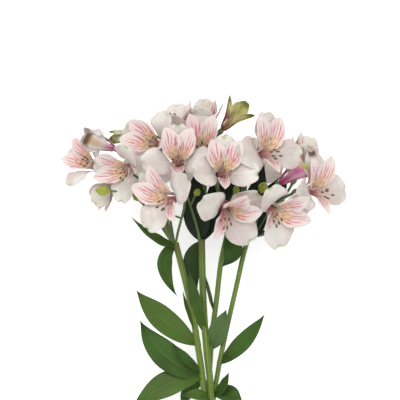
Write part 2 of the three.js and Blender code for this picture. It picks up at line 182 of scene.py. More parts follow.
def grid(name: str, columns: int, rows: int) -> tuple[Piece, Array, Array]:
    """Adds a grid primitive as the start of a blade or a rod.

    Args:
        name: the name of the new object.
        columns: faces across.
        rows: faces along.

    Returns:
        The object, and for each of its vertices t from 0 to 1 along and u from -1 to 1 across.
    """
    deselect()
    bpy.ops.mesh.primitive_grid_add(x_subdivisions=columns, y_subdivisions=rows, size=2, calc_uvs=True)
    piece = bpy.context.object
    piece.name = name
    flat = np.empty(len(piece.data.vertices) * 3)
    piece.data.vertices.foreach_get("co", flat)
    flat = flat.reshape(-1, 3)
    return piece, (flat[:, 1] + 1) / 2, flat[:, 0]


def shape(piece: Piece, points: Array) -> None:
    """Moves a piece's vertices to points of the row frame and shades it smooth."""
    piece.data.vertices.foreach_set("co", np.ascontiguousarray(points, dtype=np.float32).ravel())
    piece.data.update()
    only(piece)
    bpy.ops.object.shade_smooth()


def dress(piece: Piece, material: Material, **values: float) -> None:
    """Gives a piece its material, and each vertex the same named values for it to read."""
    piece.data.materials.append(material)
    for name, value in values.items():
        layer = piece.data.attributes.new(name, "FLOAT", "POINT")
        layer.data.foreach_set("value", np.full(len(piece.data.vertices), value, dtype=np.float32))


def blade(name: str, columns: int, rows: int, thick: float, sheet: Callable[[Array, Array], Array],
          edge: float = 0.45) -> Piece:
    """A thin blade with its middle on a sheet, thinner towards its edges.

    Args:
        name: the name of the piece.
        columns: faces across.
        rows: faces along.
        thick: its thickness in millimetres.
        sheet: gives points of the bunch frame for t along and u across.
        edge: share of the thickness that is left at its edges.

    Returns:
        The finished blade.
    """
    piece, t, u = grid(name, columns, rows)
    points = to_row(sheet(t, u))
    points[:, 2] = np.maximum(points[:, 2], thick * MM / 2)
    shape(piece, points)
    rim = np.maximum(np.abs(u), np.abs(2 * t - 1)) ** 8
    group = piece.vertex_groups.new(name="body")
    for index, weight in enumerate(1 - (1 - edge) * rim):
        group.add([index], float(weight), "REPLACE")
    wall = piece.modifiers.new("thickness", "SOLIDIFY")
    wall.thickness = thick * MM
    wall.offset = 0
    wall.vertex_group = "body"
    bpy.ops.object.modifier_apply(modifier=wall.name)
    piece.vertex_groups.clear()
    outward(piece)
    return piece


def outward(piece: Piece) -> None:
    """Turns a closed piece's faces outwards."""
    with editing(piece):
        bpy.ops.mesh.normals_make_consistent(inside=False)


@dataclass
class Route:
    """A curve of the bunch frame, as closely spaced points.

    Args:
        points: an (n, 3) array.
    """

    points: Array
    shares: Array = field(init=False)

    def __post_init__(self) -> None:
        """Measures the share of the length at each point."""
        steps = np.linalg.norm(np.diff(self.points, axis=0), axis=1)
        run = np.concatenate([[0], np.cumsum(steps)])
        self.length = float(run[-1])
        self.shares = run / run[-1]

    @classmethod
    def bezier(cls, *corners: Array, count: int = 60) -> "Route":
        """A Bezier curve with two to four control points."""
        t = np.linspace(0, 1, count)[:, None]
        degree = len(corners) - 1
        weights = [math.comb(degree, k) * t**k * (1 - t) ** (degree - k) for k in range(degree + 1)]
        return cls(sum(w * np.asarray(c, float) for w, c in zip(weights, corners)))

    @classmethod
    def through(cls, stops: Sequence[Triple], count: int = 16) -> "Route":
        """A smooth curve through stops, with its knots spaced by the root of their distance."""
        p = np.array(stops, float)
        p = np.vstack([2 * p[0] - p[1], p, 2 * p[-1] - p[-2]])
        gaps = np.sqrt(np.linalg.norm(np.diff(p, axis=0), axis=1))
        made = []
        for k in range(len(p) - 3):
            (a, b, c, d), (g0, g1, g2) = p[k:k + 4], gaps[k:k + 3]
            leave = ((b - a) / g0 - (c - a) / (g0 + g1) + (c - b) / g1) * g1
            enter = ((c - b) / g1 - (d - b) / (g1 + g2) + (d - c) / g2) * g1
            t = np.linspace(0, 1, count, endpoint=k == len(p) - 4)[:, None]
            made.append(b + leave * t + (3 * (c - b) - 2 * leave - enter) * t**2
                        + (2 * (b - c) + leave + enter) * t**3)
        return cls(np.vstack(made))

    def at(self, share: Array) -> Array:
        """Points at shares of the length."""
        return np.stack([np.interp(share, self.shares, self.points[:, k]) for k in range(3)], axis=-1)

    def at_height(self, y: float) -> Array:
        """The point at a height of a curve that rises all the way."""
        return np.array([np.interp(y, self.points[:, 1], self.points[:, k]) for k in range(3)])

    def frames(self, shares: Array) -> tuple[Array, Array]:
        """Two directions across the curve at each share, carried along it without a twist."""
        step = 0.004
        tangents = unit(self.at(np.minimum(shares + step, 1)) - self.at(np.maximum(shares - step, 0)))
        helper = np.eye(3)[np.argmin(np.abs(tangents[0]))]
        sides = [unit(np.cross(tangents[0], helper))]
        for tangent in tangents[1:]:
            sides.append(unit(sides[-1] - tangent * (sides[-1] @ tangent)))
        normals = np.array(sides)
        return normals, np.cross(tangents, normals)


def rod(name: str, route: Route, profile: Sequence[tuple[float, float]], sides: int, rings: int,
        ribs: int = 0, depth: float = 0.0, ribbed: tuple[float, float] = (0, 1), twist: float = 0.0
        ) -> Piece:
    """A solid rod along a route: a grid is wrapped round it, its seam merged and its ends filled.

    Args:
        name: the name of the piece.
        route: its middle line.
        profile: pairs of a share of the length and a radius, joined smoothly.
        sides: faces round it.
        rings: faces along it.
        ribs: how many ribs stand round it.
        depth: how deep the ribs are, as a share of the radius.
        ribbed: the shares of its length between which it has ribs.
        twist: turns of the ribs over its length.

    Returns:
        The finished rod.
    """
    piece, t, u = grid(name, sides, rings)
    stops = np.array(profile)
    stations = np.unique(np.round(t, 6))
    normals, others = route.frames(stations)
    row = np.searchsorted(stations, np.round(t, 6))
    angle = math.pi * u
    fade = smooth(ribbed[0], ribbed[0] + 0.04, t) * (1 - smooth(ribbed[1] - 0.04, ribbed[1] + 0.001, t))
    swell = 1 + depth * fade * np.cos(ribs * (angle + 2 * math.pi * twist * t))
    radius = eased(stops, t) * swell
    across = normals[row] * np.cos(angle)[:, None] + others[row] * np.sin(angle)[:, None]
    shape(piece, to_row(route.at(t) + across * radius[:, None]))
    with editing(piece):
        bpy.ops.mesh.remove_doubles(threshold=1e-7)
        bpy.ops.mesh.select_all(action="DESELECT")
        bpy.ops.mesh.select_non_manifold()
        bpy.ops.mesh.fill_holes(sides=0)
        bpy.ops.mesh.select_all(action="SELECT")
        bpy.ops.mesh.normals_make_consistent(inside=False)
    return piece


def eased(stops: Array, t: Array) -> Array:
    """Values at t between stops (position, value), eased at each stop."""
    out = np.full_like(t, stops[0, 1])
    for (a, low), (b, high) in zip(stops[:-1], stops[1:]):
        if b > a:
            out = np.where(t >= a, low + (high - low) * smooth(a, b, t), out)
    return out


# ------------------------------------------------------------------ finishes
class Shader:
    """A material's node tree, built from its output back.

    Args:
        name: the material's name.
        roughness: of its surface.
        subsurface: how much light the tissue lets through.
        specular: strength of its gloss.
    """

    def __init__(self, name: str, roughness: float = 0.5, subsurface: float = 0.0,
                 specular: float = 0.4) -> None:
        self.material = bpy.data.materials.new(name)
        self.material.use_nodes = True
        self.tree = self.material.node_tree
        self.surface = self.tree.nodes["Principled BSDF"]
        self.surface.inputs["Roughness"].default_value = roughness
        self.surface.inputs["Specular IOR Level"].default_value = specular
        if subsurface:
            self.surface.inputs["Subsurface Weight"].default_value = subsurface
            self.surface.inputs["Subsurface Radius"].default_value = (1.0, 0.8, 0.7)
            self.surface.inputs["Subsurface Scale"].default_value = 0.0015

    def node(self, kind: str, *inputs: object, **settings: object) -> Socket:
        """Adds a node.

        Args:
            kind: its type, without the ShaderNode prefix.
            inputs: a value or a socket for each input in order; None leaves one as it is.
            settings: attributes of the node.

        Returns:
            Its first output.
        """
        made = self.tree.nodes.new("ShaderNode" + kind)
        for key, value in settings.items():
            setattr(made, key, value)
        for socket, value in zip(made.inputs, inputs):
            self.feed(socket, value)
        return made.outputs[0]

    def feed(self, socket: Socket, value: object) -> None:
        """Links a socket to an input, or sets the input's own value."""
        if isinstance(value, Socket):
            self.tree.links.new(value, socket)
        elif value is not None:
            socket.default_value = value

    def math(self, operation: str, *values: object) -> Socket:
        """A Math node."""
        return self.node("Math", *values, operation=operation)

    def times(self, first: object, *others: object) -> Socket:
        """The product of its values."""
        for other in others:
            first = self.math("MULTIPLY", first, other)
        return first

    def plus(self, first: object, second: object) -> Socket:
        """The sum of two values."""
        return self.math("ADD", first, second)

    def scaled(self, value: object, factor: object, offset: object) -> Socket:
        """A value times a factor, plus an offset."""
        return self.math("MULTIPLY_ADD", value, factor, offset)

    def aside(self, u: object) -> Socket:
        """How far a coordinate that runs from 0 to 1 is from its middle."""
        return self.math("ABSOLUTE", self.math("SUBTRACT", u, 0.5))

    def band(self, value: object, low: float, high: float, start: float = 0.0, end: float = 1.0) -> Socket:
        """A smooth step of a value, from start at low to end at high."""
        return self.node("MapRange", value, low, high, start, end, interpolation_type="SMOOTHSTEP")

    def fall(self, value: object, low: float, high: float) -> Socket:
        """A smooth step of a value, from 1 at low to 0 at high."""
        return self.band(value, low, high, 1.0, 0.0)

    def hill(self, value: object, low: float, rise: float, fall: float, high: float) -> Socket:
        """1 between rise and fall, and 0 below low and above high."""
        return self.times(self.band(value, low, rise), self.fall(value, fall, high))

    def mix(self, share: object, first: object, second: object) -> Socket:
        """Mixes two colours."""
        made = self.tree.nodes.new("ShaderNodeMix")
        made.data_type = "RGBA"
        for socket, value in zip((made.inputs[0], made.inputs[6], made.inputs[7]), (share, first, second)):
            if isinstance(value, tuple):
                value = (*value, 1.0)
            self.feed(socket, value)
        return made.outputs[2]

    def noise(self, vector: object, scale: float, detail: float = 2.0) -> Socket:
        """Smooth noise from 0 to 1."""
        made = self.tree.nodes.new("ShaderNodeTexNoise")
        self.feed(made.inputs["Vector"], vector)
        made.inputs["Scale"].default_value = scale
        made.inputs["Detail"].default_value = detail
        return made.outputs["Fac"]

    def uv(self) -> tuple[Socket, Socket]:
        """The two coordinates of the piece's own UV map."""
        coordinates = self.tree.nodes.new("ShaderNodeTexCoord").outputs["UV"]
        made = self.tree.nodes.new("ShaderNodeSeparateXYZ")
        self.feed(made.inputs[0], coordinates)
        return made.outputs[0], made.outputs[1]

    def place(self) -> Socket:
        """Object coordinates, in metres."""
        return self.tree.nodes.new("ShaderNodeTexCoord").outputs["Object"]

    def attribute(self, name: str) -> Socket:
        """A named value that dress() left on the piece."""
        made = self.tree.nodes.new("ShaderNodeAttribute")
        made.attribute_name = name
        return made.outputs["Fac"]

    def stretched(self, u: object, v: object, w: object) -> Socket:
        """A vector of three values."""
        return self.node("CombineXYZ", u, v, w)

    def bump(self, height: object, depth: float) -> None:
        """Raises the surface by height times depth in metres."""
        made = self.tree.nodes.new("ShaderNodeBump")
        made.inputs["Distance"].default_value = depth
        self.feed(made.inputs["Height"], height)
        self.feed(self.surface.inputs["Normal"], made.outputs[0])

    def colour(self, value: object) -> None:
        """Links the surface's colour."""
        self.feed(self.surface.inputs["Base Color"], value)


def streaks(s: Shader, u: object, v: object, lines: int, width: float,
            seed: object) -> tuple[Socket, Socket]:
    """Lines along a blade that wander a little.

    Args:
        s: the material's tree.
        u: coordinate across, 0 to 1.
        v: coordinate along, 0 to 1.
        lines: how many lines there are.
        width: half of a line's width, as a share of their spacing.
        seed: a value that differs from blade to blade.

    Returns:
        How much a point is on a line, and a number that differs from line to line.
    """
    wander = s.noise(s.stretched(s.times(u, 3.0), s.times(v, 2.5), s.times(seed, 9.0)), 1.6, 1.0)
    across = s.scaled(u, float(lines), s.times(wander, 1.3))
    number = s.math("FLOOR", across)
    off = s.aside(s.math("FRACT", across))
    return s.fall(off, width * 0.4, width), number


@dataclass(frozen=True)
class OuterTepalFinish:
    """The satin, nearly white tissue of the broad outer tepals."""

    name: str = "outer_tepal"
    white: Colour = (0.735, 0.72, 0.665)
    shade: Colour = (0.57, 0.515, 0.48)
    vein: Colour = (0.52, 0.44, 0.43)
    blush: Colour = (0.66, 0.33, 0.39)
    green: Colour = (0.30, 0.36, 0.14)
    brown: Colour = (0.12, 0.05, 0.03)

    def build(self) -> Material:
        """Makes the material."""
        s = Shader(self.name, roughness=0.5, subsurface=0.3, specular=0.3)
        u, v = s.uv()
        seed, flush, dried = s.attribute("seed"), s.attribute("flush"), s.attribute("dried")
        centre = s.aside(u)
        cloud = s.noise(s.place(), 42.0, 3.0)
        body = s.mix(s.band(cloud, 0.36, 0.64), self.white, self.shade)
        fine, _ = streaks(s, u, v, 17, 0.34, seed)
        body = s.mix(s.times(fine, 0.30), body, self.vein)
        edge = s.times(s.band(centre, 0.3, 0.5), s.band(v, 0.3, 0.8))
        body = s.mix(s.times(edge, flush, 0.3), body, self.blush)
        broad, _ = streaks(s, u, v, 5, 0.5, s.plus(seed, 0.4))
        reach = s.scaled(seed, 0.2, 0.42)
        fade = s.fall(s.math("DIVIDE", v, reach), 0.35, 1.15)
        stripe = s.times(broad, fade, s.fall(centre, 0.1, 0.42))
        body = s.mix(s.times(stripe, flush, 0.6), body, self.blush)
        tip = s.times(s.band(v, 0.88, 0.99), s.fall(centre, 0.03, 0.15))
        body = s.mix(s.times(tip, s.scaled(seed, 0.5, 0.35)), body, self.green)
        claw = s.fall(v, 0.05, 0.34)
        body = s.mix(s.times(claw, 0.8), body, self.blush)
        spent = s.times(s.band(v, 0.82, 0.93), s.fall(centre, 0.1, 0.28))
        body = s.mix(s.times(spent, dried), body, self.brown)
        s.colour(body)
        s.bump(fine, 0.00016)
        return s.material


@dataclass(frozen=True)
class InnerTepalFinish:
    """The marked inner tepals: rose throat, peach blotch with brown dashes, and rose streaks."""

    name: str = "inner_tepal"
    white: Colour = (0.74, 0.69, 0.63)
    blush: Colour = (0.70, 0.43, 0.49)
    rose: Colour = (0.58, 0.13, 0.21)
    peach: Colour = (0.80, 0.63, 0.33)
    brown: Colour = (0.36, 0.11, 0.075)
    throat: Colour = (0.64, 0.145, 0.22)

    def streak(self, s: Shader, body: object, lines: int, width: float,
               zone: tuple[float, float, float, float], depth: object, seed: object) -> Socket:
        """Adds rose lines of uneven length.

        Args:
            s: the material's tree.
            body: the colour under them.
            lines: how many lines there are across.
            width: half of a line's width, as a share of their spacing.
            zone: where along the blade they start, are full, begin to fade and end.
            depth: how strong they are.
            seed: a value that differs from blade to blade.

        Returns:
            The colour with its lines.
        """
        u, v = s.uv()
        line, number = streaks(s, u, v, lines, width, seed)
        hop = s.node("TexWhiteNoise", None, s.plus(number, s.times(seed, 7.0)), noise_dimensions="1D")
        along = s.plus(v, s.scaled(hop, 0.22, -0.11))
        centre = s.aside(u)
        inside = s.times(s.hill(along, *zone), s.fall(centre, 0.34, 0.48))
        return s.mix(s.times(line, inside, depth), body, self.rose)

    def build(self) -> Material:
        """Makes the material."""
        s = Shader(self.name, roughness=0.48, subsurface=0.3, specular=0.3)
        u, v = s.uv()
        seed, flush, lower = s.attribute("seed"), s.attribute("flush"), s.attribute("lower")
        cloud = s.band(s.noise(s.place(), 60.0, 3.0), 0.38, 0.72)
        rosy = s.times(cloud, s.scaled(flush, 0.35, 0.05))
        rosy = s.plus(rosy, s.band(v, 0.5, 0.95, 0.0, 0.08))
        body = s.mix(rosy, self.white, self.blush)
        fine, _ = streaks(s, u, v, 13, 0.3, seed)
        body = s.mix(s.times(fine, 0.12), body, self.rose)
        depth = s.scaled(flush, 0.3, 0.68)
        deep = s.scaled(lower, -0.2, v)
        wander = s.noise(s.stretched(u, v, seed), 7.0, 2.0)
        ragged = s.plus(deep, s.scaled(wander, 0.16, -0.08))
        centre = s.aside(u)
        blotch = s.times(s.hill(ragged, 0.16, 0.30, 0.54, 0.74), s.scaled(lower, -0.7, 0.75),
                         s.band(centre, 0.3, 0.5, 1.0, 0.45))
        body = s.mix(blotch, body, self.peach)
        throat = s.fall(ragged, 0.16, 0.36)
        body = s.mix(s.times(throat, 0.95), body, self.throat)
        body = self.streak(s, body, 6, 0.26, (0.50, 0.62, 0.74, 0.93), depth, s.plus(seed, 0.2))
        body = self.streak(s, body, 9, 0.24, (0.34, 0.46, 0.60, 0.84), s.times(depth, 0.6),
                           s.plus(seed, 0.7))
        dash, line = streaks(s, u, v, 7, 0.24, s.plus(seed, 0.6))
        hop = s.node("TexWhiteNoise", None, line, noise_dimensions="1D")
        beat = s.math("FRACT", s.scaled(v, 7.0, s.times(hop, 5.0)))
        cut = s.hill(beat, 0.05, 0.2, 0.5, 0.65)
        dash = s.times(dash, cut, s.hill(v, 0.26, 0.34, 0.56, 0.72))
        body = s.mix(s.times(dash, 0.8), body, self.brown)
        s.colour(body)
        s.bump(fine, 0.00014)
        return s.material


@dataclass(frozen=True)
class OpeningFinish:
    """The tissue of flowers still opening: its body, its keel, its tip and its base."""

    name: str
    body: Colour
    rib: Colour
    tip: Colour
    base: Colour

    def build(self) -> Material:
        """Makes the material."""
        s = Shader(self.name, roughness=0.46, subsurface=0.22, specular=0.35)
        u, v = s.uv()
        seed, keeled, stained = s.attribute("seed"), s.attribute("keeled"), s.attribute("stained")
        centre = s.aside(u)
        fine, _ = streaks(s, u, v, 15, 0.32, seed)
        tissue = s.mix(s.times(fine, 0.3), self.body, self.rib)
        keel = s.times(s.fall(centre, 0.04, 0.26), s.band(v, 0.2, 0.7))
        stripe = s.mix(s.times(stained, 0.9), self.rib, self.base)
        tissue = s.mix(s.times(keel, 0.85, keeled), tissue, stripe)
        tissue = s.mix(s.times(stained, s.band(v, 0.4, 0.78, 0.85, 0.0)), tissue, self.base)
        end = s.times(s.band(v, 0.76, 0.92), s.scaled(keeled, 0.8, 0.2))
        end = s.times(end, s.band(centre, 0.16, 0.42, 1.0, 0.15))
        tissue = s.mix(end, tissue, self.tip)
        ragged = s.plus(v, s.scaled(s.noise(s.stretched(u, v, seed), 5.0), 0.3, -0.15))
        inside = s.math("MAXIMUM", s.band(centre, 0.12, 0.4, 1.0, 0.3), s.fall(ragged, 0.02, 0.2))
        tissue = s.mix(s.times(s.fall(ragged, 0.12, 0.5), inside), tissue, self.base)
        s.colour(tissue)
        s.bump(fine, 0.00016)
        return s.material


@dataclass(frozen=True)
class LeafFinish:
    """Waxy leaves with parallel veins, a paler rib and darker clouds; those that lie in shadow behind the
    heads and the stalks are darkened with painted shade.
    """

    name: str = "leaf"
    green: Colour = (0.031, 0.094, 0.011)
    dark: Colour = (0.007, 0.028, 0.006)
    light: Colour = (0.088, 0.152, 0.021)
    grey: Colour = (0.105, 0.17, 0.066)
    # Painted shade for the leaves that lie in shadow behind the heads and the stalks.
    black: Colour = (0.006, 0.014, 0.007)

    def build(self) -> Material:
        """Makes the material."""
        s = Shader(self.name, roughness=0.46, subsurface=0.05, specular=0.25)
        u, v = s.uv()
        seed, pale, deep = s.attribute("seed"), s.attribute("pale"), s.attribute("deep")
        cloud = s.noise(s.place(), 24.0, 3.0)
        body = s.mix(s.band(cloud, 0.38, 0.66), self.green, self.dark)
        body = s.mix(s.times(seed, 0.6), body, self.light)
        body = s.mix(s.times(pale, 0.8), body, self.grey)
        fine, _ = streaks(s, u, v, 15, 0.3, s.times(seed, 0.2))
        body = s.mix(s.times(fine, 0.28), body, self.light)
        rib = s.fall(s.aside(u), 0.012, 0.045)
        body = s.mix(s.times(rib, 0.55), body, self.light)
        # Painted shade: the deep value darkens a leaf towards the painted shade colour, for leaves in shadow
        # behind the heads and the stalks.
        body = s.mix(s.times(deep, 0.94), body, self.black)
        s.colour(body)
        s.bump(s.plus(fine, s.times(rib, 2.0)), 0.00018)
        return s.material


@dataclass(frozen=True)
class StalkFinish:
    """Fine-grooved stalks: yellow-green in the light, browner where they fork and pale at the cut."""

    name: str = "stalk"
    green: Colour = (0.15, 0.222, 0.033)
    dark: Colour = (0.055, 0.095, 0.018)
    brown: Colour = (0.16, 0.085, 0.055)
    cut: Colour = (0.52, 0.55, 0.30)

    def build(self) -> Material:
        """Makes the material."""
        s = Shader(self.name, roughness=0.44, subsurface=0.05, specular=0.3)
        u, v = s.uv()
        seed = s.attribute("seed")
        groove, _ = streaks(s, u, v, 9, 0.4, seed)
        body = s.mix(s.times(groove, 0.45), self.green, self.dark)
        cloud = s.noise(s.place(), 30.0, 3.0)
        body = s.mix(s.times(s.band(cloud, 0.4, 0.7), 0.5), body, self.dark)
        body = s.mix(s.times(s.band(v, 0.95, 1.0), 0.45), body, self.brown)
        body = s.mix(s.band(v, 0.0, 0.003, 0.85, 0.0), body, self.cut)
        s.colour(body)
        s.bump(groove, 0.0002)
        return s.material


@dataclass(frozen=True)
class RayFinish:
    """The flowers' own thin stalks and ribbed ovaries, and the buds."""

    name: str
    green: Colour
    ribs: Colour
    tinge: Colour

    def build(self) -> Material:
        """Makes the material."""
        s = Shader(self.name, roughness=0.42, subsurface=0.08, specular=0.45)
        u, v = s.uv()
        seed = s.attribute("seed")
        groove, _ = streaks(s, u, v, 6, 0.36, s.times(seed, 0.1))
        body = s.mix(s.times(groove, 0.5), self.green, self.ribs)
        cloud = s.noise(s.place(), 70.0, 2.0)
        body = s.mix(s.times(s.band(cloud, 0.45, 0.7), 0.5), body, self.tinge)
        s.colour(body)
        s.bump(groove, 0.00015)
        return s.material


@dataclass(frozen=True)
class MattFinish:
    """A matt surface with fine mottling and a grain of its own size."""

    name: str
    main: Colour
    other: Colour
    roughness: float
    scale: float
    depth: float

    def build(self) -> Material:
        """Makes the material."""
        s = Shader(self.name, roughness=self.roughness, specular=0.3)
        grain = s.noise(s.place(), self.scale, 3.0)
        s.colour(s.mix(s.band(grain, 0.35, 0.65), self.main, self.other))
        s.bump(grain, self.depth)
        return s.material


class Palette:
    """Every material of the bunch, made once."""

    def __init__(self) -> None:
        self.outer = OuterTepalFinish().build()
        self.inner = InnerTepalFinish().build()
        self.leaf = LeafFinish().build()
        self.stalk = StalkFinish().build()
        self.ray = RayFinish("ray", (0.115, 0.20, 0.045), (0.055, 0.11, 0.03), (0.13, 0.075, 0.05)).build()
        self.bud = RayFinish("bud", (0.28, 0.34, 0.034), (0.14, 0.21, 0.022), (0.36, 0.35, 0.05)).build()
        self.filament = MattFinish("filament", (0.66, 0.40, 0.38), (0.60, 0.27, 0.28), 0.5, 300, 5e-5).build()
        self.anther = MattFinish("anther", (0.24, 0.16, 0.06), (0.12, 0.075, 0.035), 0.8, 900, 2e-4).build()
        self.rubber = MattFinish("rubber", (0.55, 0.37, 0.19), (0.46, 0.30, 0.15), 0.65, 700, 1e-4).build()
        self.opening = {look: look.value.build() for look in OpeningLook}


class OpeningLook(Enum):
    """The colours of the flowers that are still opening."""

    MAGENTA = OpeningFinish("opening_magenta", (0.70, 0.66, 0.65), (0.50, 0.32, 0.18), (0.10, 0.05, 0.015),
                            (0.60, 0.10, 0.27))
    CREAM = OpeningFinish("opening_cream", (0.56, 0.56, 0.38), (0.34, 0.40, 0.15), (0.11, 0.14, 0.03),
                          (0.42, 0.12, 0.10))
    ROSE = OpeningFinish("opening_rose", (0.74, 0.42, 0.53), (0.62, 0.10, 0.33), (0.42, 0.44, 0.12),
                         (0.50, 0.030, 0.18))
    GREEN = OpeningFinish("opening_green", (0.52, 0.48, 0.24), (0.38, 0.41, 0.05), (0.12, 0.15, 0.02),
                          (0.23, 0.022, 0.032))


# ------------------------------------------------------------------ flowers
class Kind(Enum):
    """Where a tepal stands in its flower."""

    OUTER = "outer"
    INNER = "inner"
    LOWER = "lower"


@dataclass(frozen=True)
class Form:
    """The outline of a kind of tepal.

    Args:
        claw: radius at which its claw stands.
        half: half the width of its claw.
        base: lean of its claw from the flower's axis, in degrees.
        reach: how far the corners of its tip draw back, as a share of its length.
        round: how late across the blade they do so.
        cup: how much its sides curl inwards.
        columns: faces across.
        rows: faces along.
        notch: depth of the notch in its tip, as a share of its length.
    """

    claw: float
    half: float
    base: float
    reach: float
    round: float
    cup: float
    columns: int
    rows: int
    notch: float


OUTER = Form(claw=3.0, half=1.7, base=11, reach=0.30, round=2.6, cup=0.1, columns=22, rows=38, notch=0.05)
INNER = Form(claw=2.6, half=1.5, base=3, reach=0.28, round=2.2, cup=0.2, columns=18, rows=36, notch=-0.03)
WRAPPED = Form(claw=3.0, half=3.2, base=11, reach=0.30, round=2.6, cup=0.5, columns=16, rows=34, notch=0.0)
PETAL_THICK = 0.45
# Height of a tepal's ruffles and depth of its crease, in millimetres; swing of its edge and size
# of its point, as shares of its length.
RUFFLE = 1.0
CREASE = 0.5
SWING = 0.014
POINT = 0.014


@dataclass(frozen=True)
class Tepal:
    """One tepal: where its claw stands and its blade turns to, its size and how far it flares, in degrees."""

    kind: Kind
    root: float
    turn: float
    long: float
    wide: float
    flare: float
    form: Form = OUTER
    size: float = 1.0
    ripple: float = 0.0
    ruffle: float = 0.0

    def lean(self, share: Array, opened: float) -> Array:
        """Angle between the blade and the flower's axis at a share of its length."""
        bend = self.flare * opened * smooth(0.18, 0.72, share)
        tip = 14 * opened * share**4 + (1 - opened) * (18 - 42 * share)
        return np.radians(self.form.base + 4 * opened + bend + tip)

    def midline(self, share: Array, opened: float) -> tuple[Array, Array, Array]:
        """Distance from the flower's axis, height over the ovary, and lean."""
        count = 24
        parts = (np.arange(count) + 0.5) / count
        angles = self.lean(share[:, None] * parts, opened)
        out = self.form.claw * self.size + self.long * share * np.sin(angles).mean(axis=1)
        height = self.long * share * np.cos(angles).mean(axis=1)
        return out, height, self.lean(share, opened)

    def sheet(self, t: Array, u: Array, opened: float) -> Array:
        """The middle of the blade in the flower's own frame, with its notch, ruffles and rib."""
        far = np.minimum(np.abs(u), 1)
        share = t - self.form.reach * t**2 * far**self.form.round
        share = share - self.form.notch * t**10 * np.exp(-((u / 0.16) ** 2))
        share = share + POINT * t**12 * np.exp(-((u / 0.05) ** 2)) * (self.form.notch > 0)
        share = share + SWING * t**6 * np.sin(9 * u + 6 * self.ruffle) * np.abs(u)
        out, height, lean = self.midline(share, opened)
        half = self.form.half * self.size
        width = half + (self.wide - half) * smooth(0.16, 0.88, t)
        curve = (0.1 + (self.form.cup - 0.1) * smooth(0.1, 0.5, t)) * width * u * u
        inward = curve + self.ripple * t * t * u * np.sin(7 * t + 2 * self.ripple)
        wave = np.sin(11 * t + 5 * self.ruffle + 1.5 * np.sign(u)) * far**4
        inward = inward + RUFFLE * wave * smooth(0.4, 0.75, t) * self.size
        inward = inward - CREASE * np.exp(-((u / 0.13) ** 2)) * smooth(0.15, 0.5, t)
        turn = np.radians(self.root + (self.turn - self.root) * smooth(0, 1, t))
        radial = out - inward * np.cos(lean)
        return np.stack([
            radial * np.sin(turn) + u * width * np.cos(turn),
            radial * np.cos(turn) - u * width * np.sin(turn),
            height + inward * np.sin(lean),
        ], axis=-1)


TEPALS = (
    Tepal(Kind.OUTER, 0, 0, 45, 13.5, 56),
    Tepal(Kind.OUTER, 120, 100, 46, 14.5, 60),
    Tepal(Kind.OUTER, -120, -100, 46, 14.5, 60),
    Tepal(Kind.INNER, 60, 26, 46, 9.8, 46),
    Tepal(Kind.INNER, -60, -26, 46, 9.8, 46),
    Tepal(Kind.LOWER, 180, 180, 40, 6.4, 36),
)


@dataclass(frozen=True)
class Flower:
    """A flower on its stem.

    Args:
        stem: the number of the stem that carries it.
        at: the top of its ovary in the bunch frame.
        heading: heading of its axis, in degrees.
        tilt: tilt of its axis away from the bunch's front, in degrees.
        up: heading of its upper side, in degrees.
        size: its scale.
        opened: from 0, shut, to 1, open.
        flush: how rosy it is, from 0 to 1.
        dried: how brown the tip of its upper tepal is, from 0 to 1.
    """

    stem: int
    at: Triple
    heading: float
    tilt: float
    up: float
    size: float = 1.0
    opened: float = 1.0
    flush: float = 0.5
    dried: float = 0.0

    def axis(self) -> Array:
        """The way that it faces."""
        return pointing(self.heading, self.tilt)

    def placed(self, points: Array) -> Array:
        """Points of its own frame in the bunch frame."""
        axis = self.axis()
        side = pointing(self.up, 90)
        upper = unit(side - axis * (side @ axis))
        return np.array(self.at) + points @ np.array([np.cross(upper, axis), upper, axis])

    def tepals(self, index: int) -> list[Tepal]:
        """Its six tepals, each a little different."""
        return [
            replace(
                tepal,
                form=OUTER if tepal.kind is Kind.OUTER else INNER,
                size=self.size,
                turn=tepal.turn + 4 * draw(index, k),
                long=tepal.long * self.size * (1 + 0.04 * draw(index, k + 10)),
                wide=tepal.wide * self.size * (1 + 0.05 * draw(index, k + 20)),
                flare=tepal.flare + 6 * draw(index, k + 30),
                ripple=0.9 * draw(index, k + 40),
                ruffle=draw(index, k + 45),
            )
            for k, tepal in enumerate(TEPALS)
        ]


